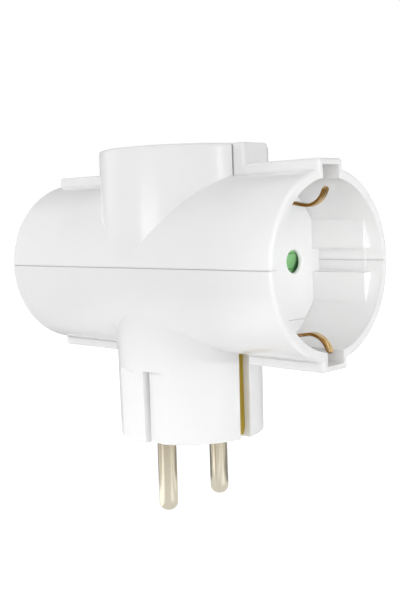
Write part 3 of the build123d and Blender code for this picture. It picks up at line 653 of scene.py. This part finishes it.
# Narrow lamps: azimuth and elevation in degrees and distance in metres as seen from the point that the lamp
# shines at, that point, the whole angle of its cone in degrees, and the setting that holds its power
MOUTH = Vector((0.040, 0.007, 0.0434))
PLUG_FRONT = Vector((0.004, -0.012, 0.006))
PLUG_FLANK = Vector((0.012, 0.0, 0.004))
SNOOTS = [
    ("snoot", 50.0, 4.0, 0.35, MOUTH, 5.4, "snoot_level"),
    ("low_snoot", 52.0, -15.0, 0.2, MOUTH, 10.0, "low_snoot_level"),
    ("plug_snoot", 1.0, 2.0, 0.35, PLUG_FRONT, 6.0, "plug_snoot_level"),
    ("flank_snoot", 108.0, -2.0, 0.35, PLUG_FLANK, 4.5, "flank_snoot_level"),
]
SNOOT_BLEND = 0.8
SNOOT_RADIUS = 0.02

# Cards on the floor: left, right, front and back edges in metres, and brightness
FLOOR_CARDS = [
    ("left_card", -0.018, -0.001, -0.09, -0.012, 1.5),
    ("front_right_card", 0.01, 0.09, -0.0145, -0.0045, 1.2),
    ("rear_right_card", 0.01, 0.09, 0.0045, 0.0145, 1.2),
    ("dark_card", -0.005, 0.03, 0.020, 0.09, 0.33),
    ("back_card", -0.07, -0.014, -0.003, 0.07, 0.25),
    ("side_card", -0.07, -0.025, -0.012, -0.003, 0.25),
]
CARD_LIFT = 0.2 * MM

# Upright dark card behind the object: azimuth in degrees, distance, half its width and its height in metres, and
# brightness
BACKDROP_AZIMUTH = 225.0
BACKDROP_DISTANCE = 0.5
BACKDROP_HALF = 0.6
BACKDROP_HEIGHT = 0.58
BACKDROP_LEVEL = 0.35

# Half the floor's side in metres, its tone in the shadow that the camera sees, and how bright it is near the pins
FLOOR_HALF = 3.0
SHADOW_TONE = linear("#898989")
NEAR_WHITE = 0.88
WHITE = linear("#FFFFFF")

# Camera fitted to the photograph: its turn to the right, dip and roll, its place, and its frame
CAMERA_TURN = math.radians(45.105)
CAMERA_DIP = math.radians(2.415)
CAMERA_ROLL = math.radians(-1.932)
CAMERA_PLACE = Vector((173.41, -174.14, 55.68)) * MM
SENSOR_WIDTH = 36.0
SHIFT_X = 0.04195
SHIFT_Y = -0.11168
CLIP_START = 0.01


class ADAPTER_OT_stage(bpy.types.Operator):
    """Makes the floor, the light and the camera"""

    bl_idname = "adapter.stage"
    bl_label = "Stage"

    def execute(self, context):
        scene = context.scene
        stage = scene.adapter_stage
        scene.view_settings.view_transform = "Standard"
        self.floor(scene, stage)
        self.world(scene, stage)
        self.lamps(scene, stage)
        self.cards(scene)
        self.camera(scene, stage)
        return {"FINISHED"}

    def panel(self, scene, name, corners, material):
        """A flat face of the stage."""
        mesh = bpy.data.meshes.new(name)
        mesh.from_pydata(corners, [], [(0, 1, 2, 3)])
        mesh.materials.append(material)
        piece = bpy.data.objects.new(name, mesh)
        scene.collection.objects.link(piece)
        return piece

    def floor(self, scene, stage):
        """A wide floor under the pins.

        The camera sees it white apart from the object's shadow, other pieces get the light that it throws up, and
        reflections see it bright near the pins and darker further out.
        """
        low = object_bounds()[0][2]
        material, tree = new_material("white_studio_floor")
        place = add_node(tree, "TexCoord").outputs["Object"]
        away = add_node(tree, "VectorMath", {0: place, 1: (0.0, 0.0, low)}, operation="DISTANCE")

        # Two distances from the middle in metres, and the brightness at each
        white, bounce, mirrored = [
            add_node(tree, "Emission", {"Strength": add_node(
                tree, "MapRange",
                {"Value": away, "From Min": near, "From Max": far, "To Min": near_level, "To Max": far_level},
            )})
            for near, far, near_level, far_level in (
                (0.05, 0.4, NEAR_WHITE, 1.0),
                (0.03, 0.3, stage.bounce_level, 0.0),
                (0.07, 0.12, stage.mirror_level, stage.far_mirror_level),
            )
        ]
        shade = add_node(tree, "BsdfDiffuse", {"Color": SHADOW_TONE})
        paper = add_node(tree, "BsdfDiffuse", {"Color": stage.floor_tone})
        shown = add_node(tree, "AddShader", {0: shade, 1: white})
        thrown = add_node(tree, "AddShader", {0: paper, 1: bounce})
        ray = add_node(tree, "LightPath").outputs
        unseen = add_node(tree, "MixShader", {"Fac": ray["Is Glossy Ray"], 1: thrown, 2: mirrored})
        pick = add_node(tree, "MixShader", {"Fac": ray["Is Camera Ray"], 1: unseen, 2: shown})
        add_node(tree, "OutputMaterial", {"Surface": pick})
        corners = [(x * FLOOR_HALF, y * FLOOR_HALF, low) for x, y in ((-1, -1), (1, -1), (1, 1), (-1, 1))]
        floor = self.panel(scene, "floor", corners, material)
        floor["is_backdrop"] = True

    def world(self, scene, stage):
        """Soft light from all round, and plain white where the camera, a reflection or a clear piece sees it."""
        world = bpy.data.worlds.new("studio")
        scene.world = world
        world.use_nodes = True
        tree = world.node_tree
        tree.nodes.clear()
        ray = add_node(tree, "LightPath").outputs
        first = add_node(tree, "Math", {0: ray["Is Camera Ray"], 1: ray["Is Glossy Ray"]}, operation="MAXIMUM")
        seen = add_node(tree, "Math", {0: first, 1: ray["Is Transmission Ray"]}, operation="MAXIMUM")
        light = add_node(tree, "Background", {"Color": WHITE, "Strength": stage.sky_level})
        white = add_node(tree, "Background", {"Color": WHITE, "Strength": 1.0})
        pick = add_node(tree, "MixShader", {"Fac": seen, 1: light, 2: white})
        add_node(tree, "OutputWorld", {"Surface": pick})

    def facing(self, azimuth, elevation, distance, middle):
        """Place on a sphere around a middle point, turned to face that point."""
        turn, rise = math.radians(azimuth), math.radians(elevation)
        back = Vector((math.sin(turn) * math.cos(rise), -math.cos(turn) * math.cos(rise), math.sin(rise)))
        return Matrix.Translation(middle + back * distance) @ back.to_track_quat("Z", "Y").to_matrix().to_4x4()

    def lamps(self, scene, stage):
        """Soft boxes round the object, and narrow lamps on the plug and in the right socket."""
        for name, azimuth, elevation, distance, width, height, level, mirrored in SOFT_BOXES:
            lamp = bpy.data.lights.new(name, "AREA")
            lamp.shape = "RECTANGLE"
            lamp.size = width
            lamp.size_y = height
            lamp.energy = getattr(stage, level) * math.pi * width * height
            box = bpy.data.objects.new(name, lamp)
            box.visible_glossy = mirrored
            scene.collection.objects.link(box)
            box.matrix_world = self.facing(azimuth, elevation, distance, MIDDLE)
        for name, azimuth, elevation, distance, aim, cone, power in SNOOTS:
            lamp = bpy.data.lights.new(name, "SPOT")
            lamp.spot_size = math.radians(cone)
            lamp.spot_blend = SNOOT_BLEND
            lamp.shadow_soft_size = SNOOT_RADIUS
            lamp.energy = getattr(stage, power)
            snoot = bpy.data.objects.new(name, lamp)
            snoot.visible_glossy = False
            scene.collection.objects.link(snoot)
            snoot.matrix_world = self.facing(azimuth, elevation, distance, aim)

    def cards(self, scene):
        """Cards that only reflections see.

        Light ones on the floor round the pins give the metal bright bands, dark ones give it dark edges, and the
        dark one behind the object gives the glossy shells their darker outlines.
        """
        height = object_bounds()[0][2] + CARD_LIFT
        lying = Matrix.Translation((0.0, 0.0, height))
        upright = self.facing(BACKDROP_AZIMUTH, 0.0, BACKDROP_DISTANCE, Vector((0.0, 0.0, 0.0)))
        cards = [(lying, *card) for card in FLOOR_CARDS]
        cards.append((upright, "backdrop", -BACKDROP_HALF, BACKDROP_HALF, 0.0, BACKDROP_HEIGHT, BACKDROP_LEVEL))
        for put, name, left, right, front, back, level in cards:
            plan = [(left, front), (right, front), (right, back), (left, back)]
            corners = [put @ Vector((x, y, 0.0)) for x, y in plan]
            material, tree = new_material(name)
            glow = add_node(tree, "Emission", {"Strength": level})
            add_node(tree, "OutputMaterial", {"Surface": glow})
            card = self.panel(scene, name, corners, material)
            card.visible_camera = False
            card.visible_diffuse = False
            card.visible_shadow = False
            card.visible_transmission = False
            card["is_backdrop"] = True

    def camera(self, scene, stage):
        """Camera at the photograph's angle: 45 degrees to the right of the barrel and a little above its axis."""
        sin_turn, cos_turn = math.sin(CAMERA_TURN), math.cos(CAMERA_TURN)
        sin_dip, cos_dip = math.sin(CAMERA_DIP), math.cos(CAMERA_DIP)
        right = Vector((cos_turn, sin_turn, 0.0))
        ahead = Vector((-sin_turn * cos_dip, cos_turn * cos_dip, -sin_dip))
        up = right.cross(ahead)
        across = right * math.cos(CAMERA_ROLL) + up * math.sin(CAMERA_ROLL)
        upward = up * math.cos(CAMERA_ROLL) - right * math.sin(CAMERA_ROLL)
        view = Matrix((across, upward, -ahead)).transposed().to_4x4()
        data = bpy.data.cameras.new("camera")
        data.sensor_fit = "HORIZONTAL"
        data.sensor_width = SENSOR_WIDTH
        data.lens = stage.lens
        data.shift_x = SHIFT_X
        data.shift_y = SHIFT_Y
        data.clip_start = CLIP_START
        camera = bpy.data.objects.new("camera", data)
        camera.matrix_world = Matrix.Translation(CAMERA_PLACE) @ view
        scene.collection.objects.link(camera)
        scene.camera = camera


OPERATORS = [
    ADAPTER_OT_shells,
    ADAPTER_OT_shutters,
    ADAPTER_OT_springs,
    ADAPTER_OT_pins,
    ADAPTER_OT_brass,
    ADAPTER_OT_earth,
    ADAPTER_OT_stage,
]


class ADAPTER_PT_panel(bpy.types.Panel):
    """Lists the adapter's settings and operators."""

    bl_label = "Socket adapter"
    bl_idname = "ADAPTER_PT_panel"
    bl_space_type = "VIEW_3D"
    bl_region_type = "UI"
    bl_category = "Adapter"

    def draw(self, context):
        scene = context.scene
        for group in (scene.adapter_finish, scene.adapter_earth, scene.adapter_stage):
            for name in group.__annotations__:
                self.layout.prop(group, name)
        for operator in OPERATORS:
            self.layout.operator(operator.bl_idname)


CLASSES = [AdapterFinish, AdapterEarth, AdapterStage, *OPERATORS, ADAPTER_PT_panel]


def register():
    for cls in CLASSES:
        bpy.utils.register_class(cls)
    bpy.types.Scene.adapter_finish = PointerProperty(type=AdapterFinish)
    bpy.types.Scene.adapter_earth = PointerProperty(type=AdapterEarth)
    bpy.types.Scene.adapter_stage = PointerProperty(type=AdapterStage)


def unregister():
    del bpy.types.Scene.adapter_stage
    del bpy.types.Scene.adapter_earth
    del bpy.types.Scene.adapter_finish
    for cls in reversed(CLASSES):
        bpy.utils.unregister_class(cls)


def main():
    register()
    bpy.ops.adapter.shells()
    bpy.ops.adapter.shutters()
    bpy.ops.adapter.springs()
    bpy.ops.adapter.pins()
    bpy.ops.adapter.brass()
    bpy.ops.adapter.earth()
    bpy.ops.adapter.stage()


if __name__ == "__main__":
    main()
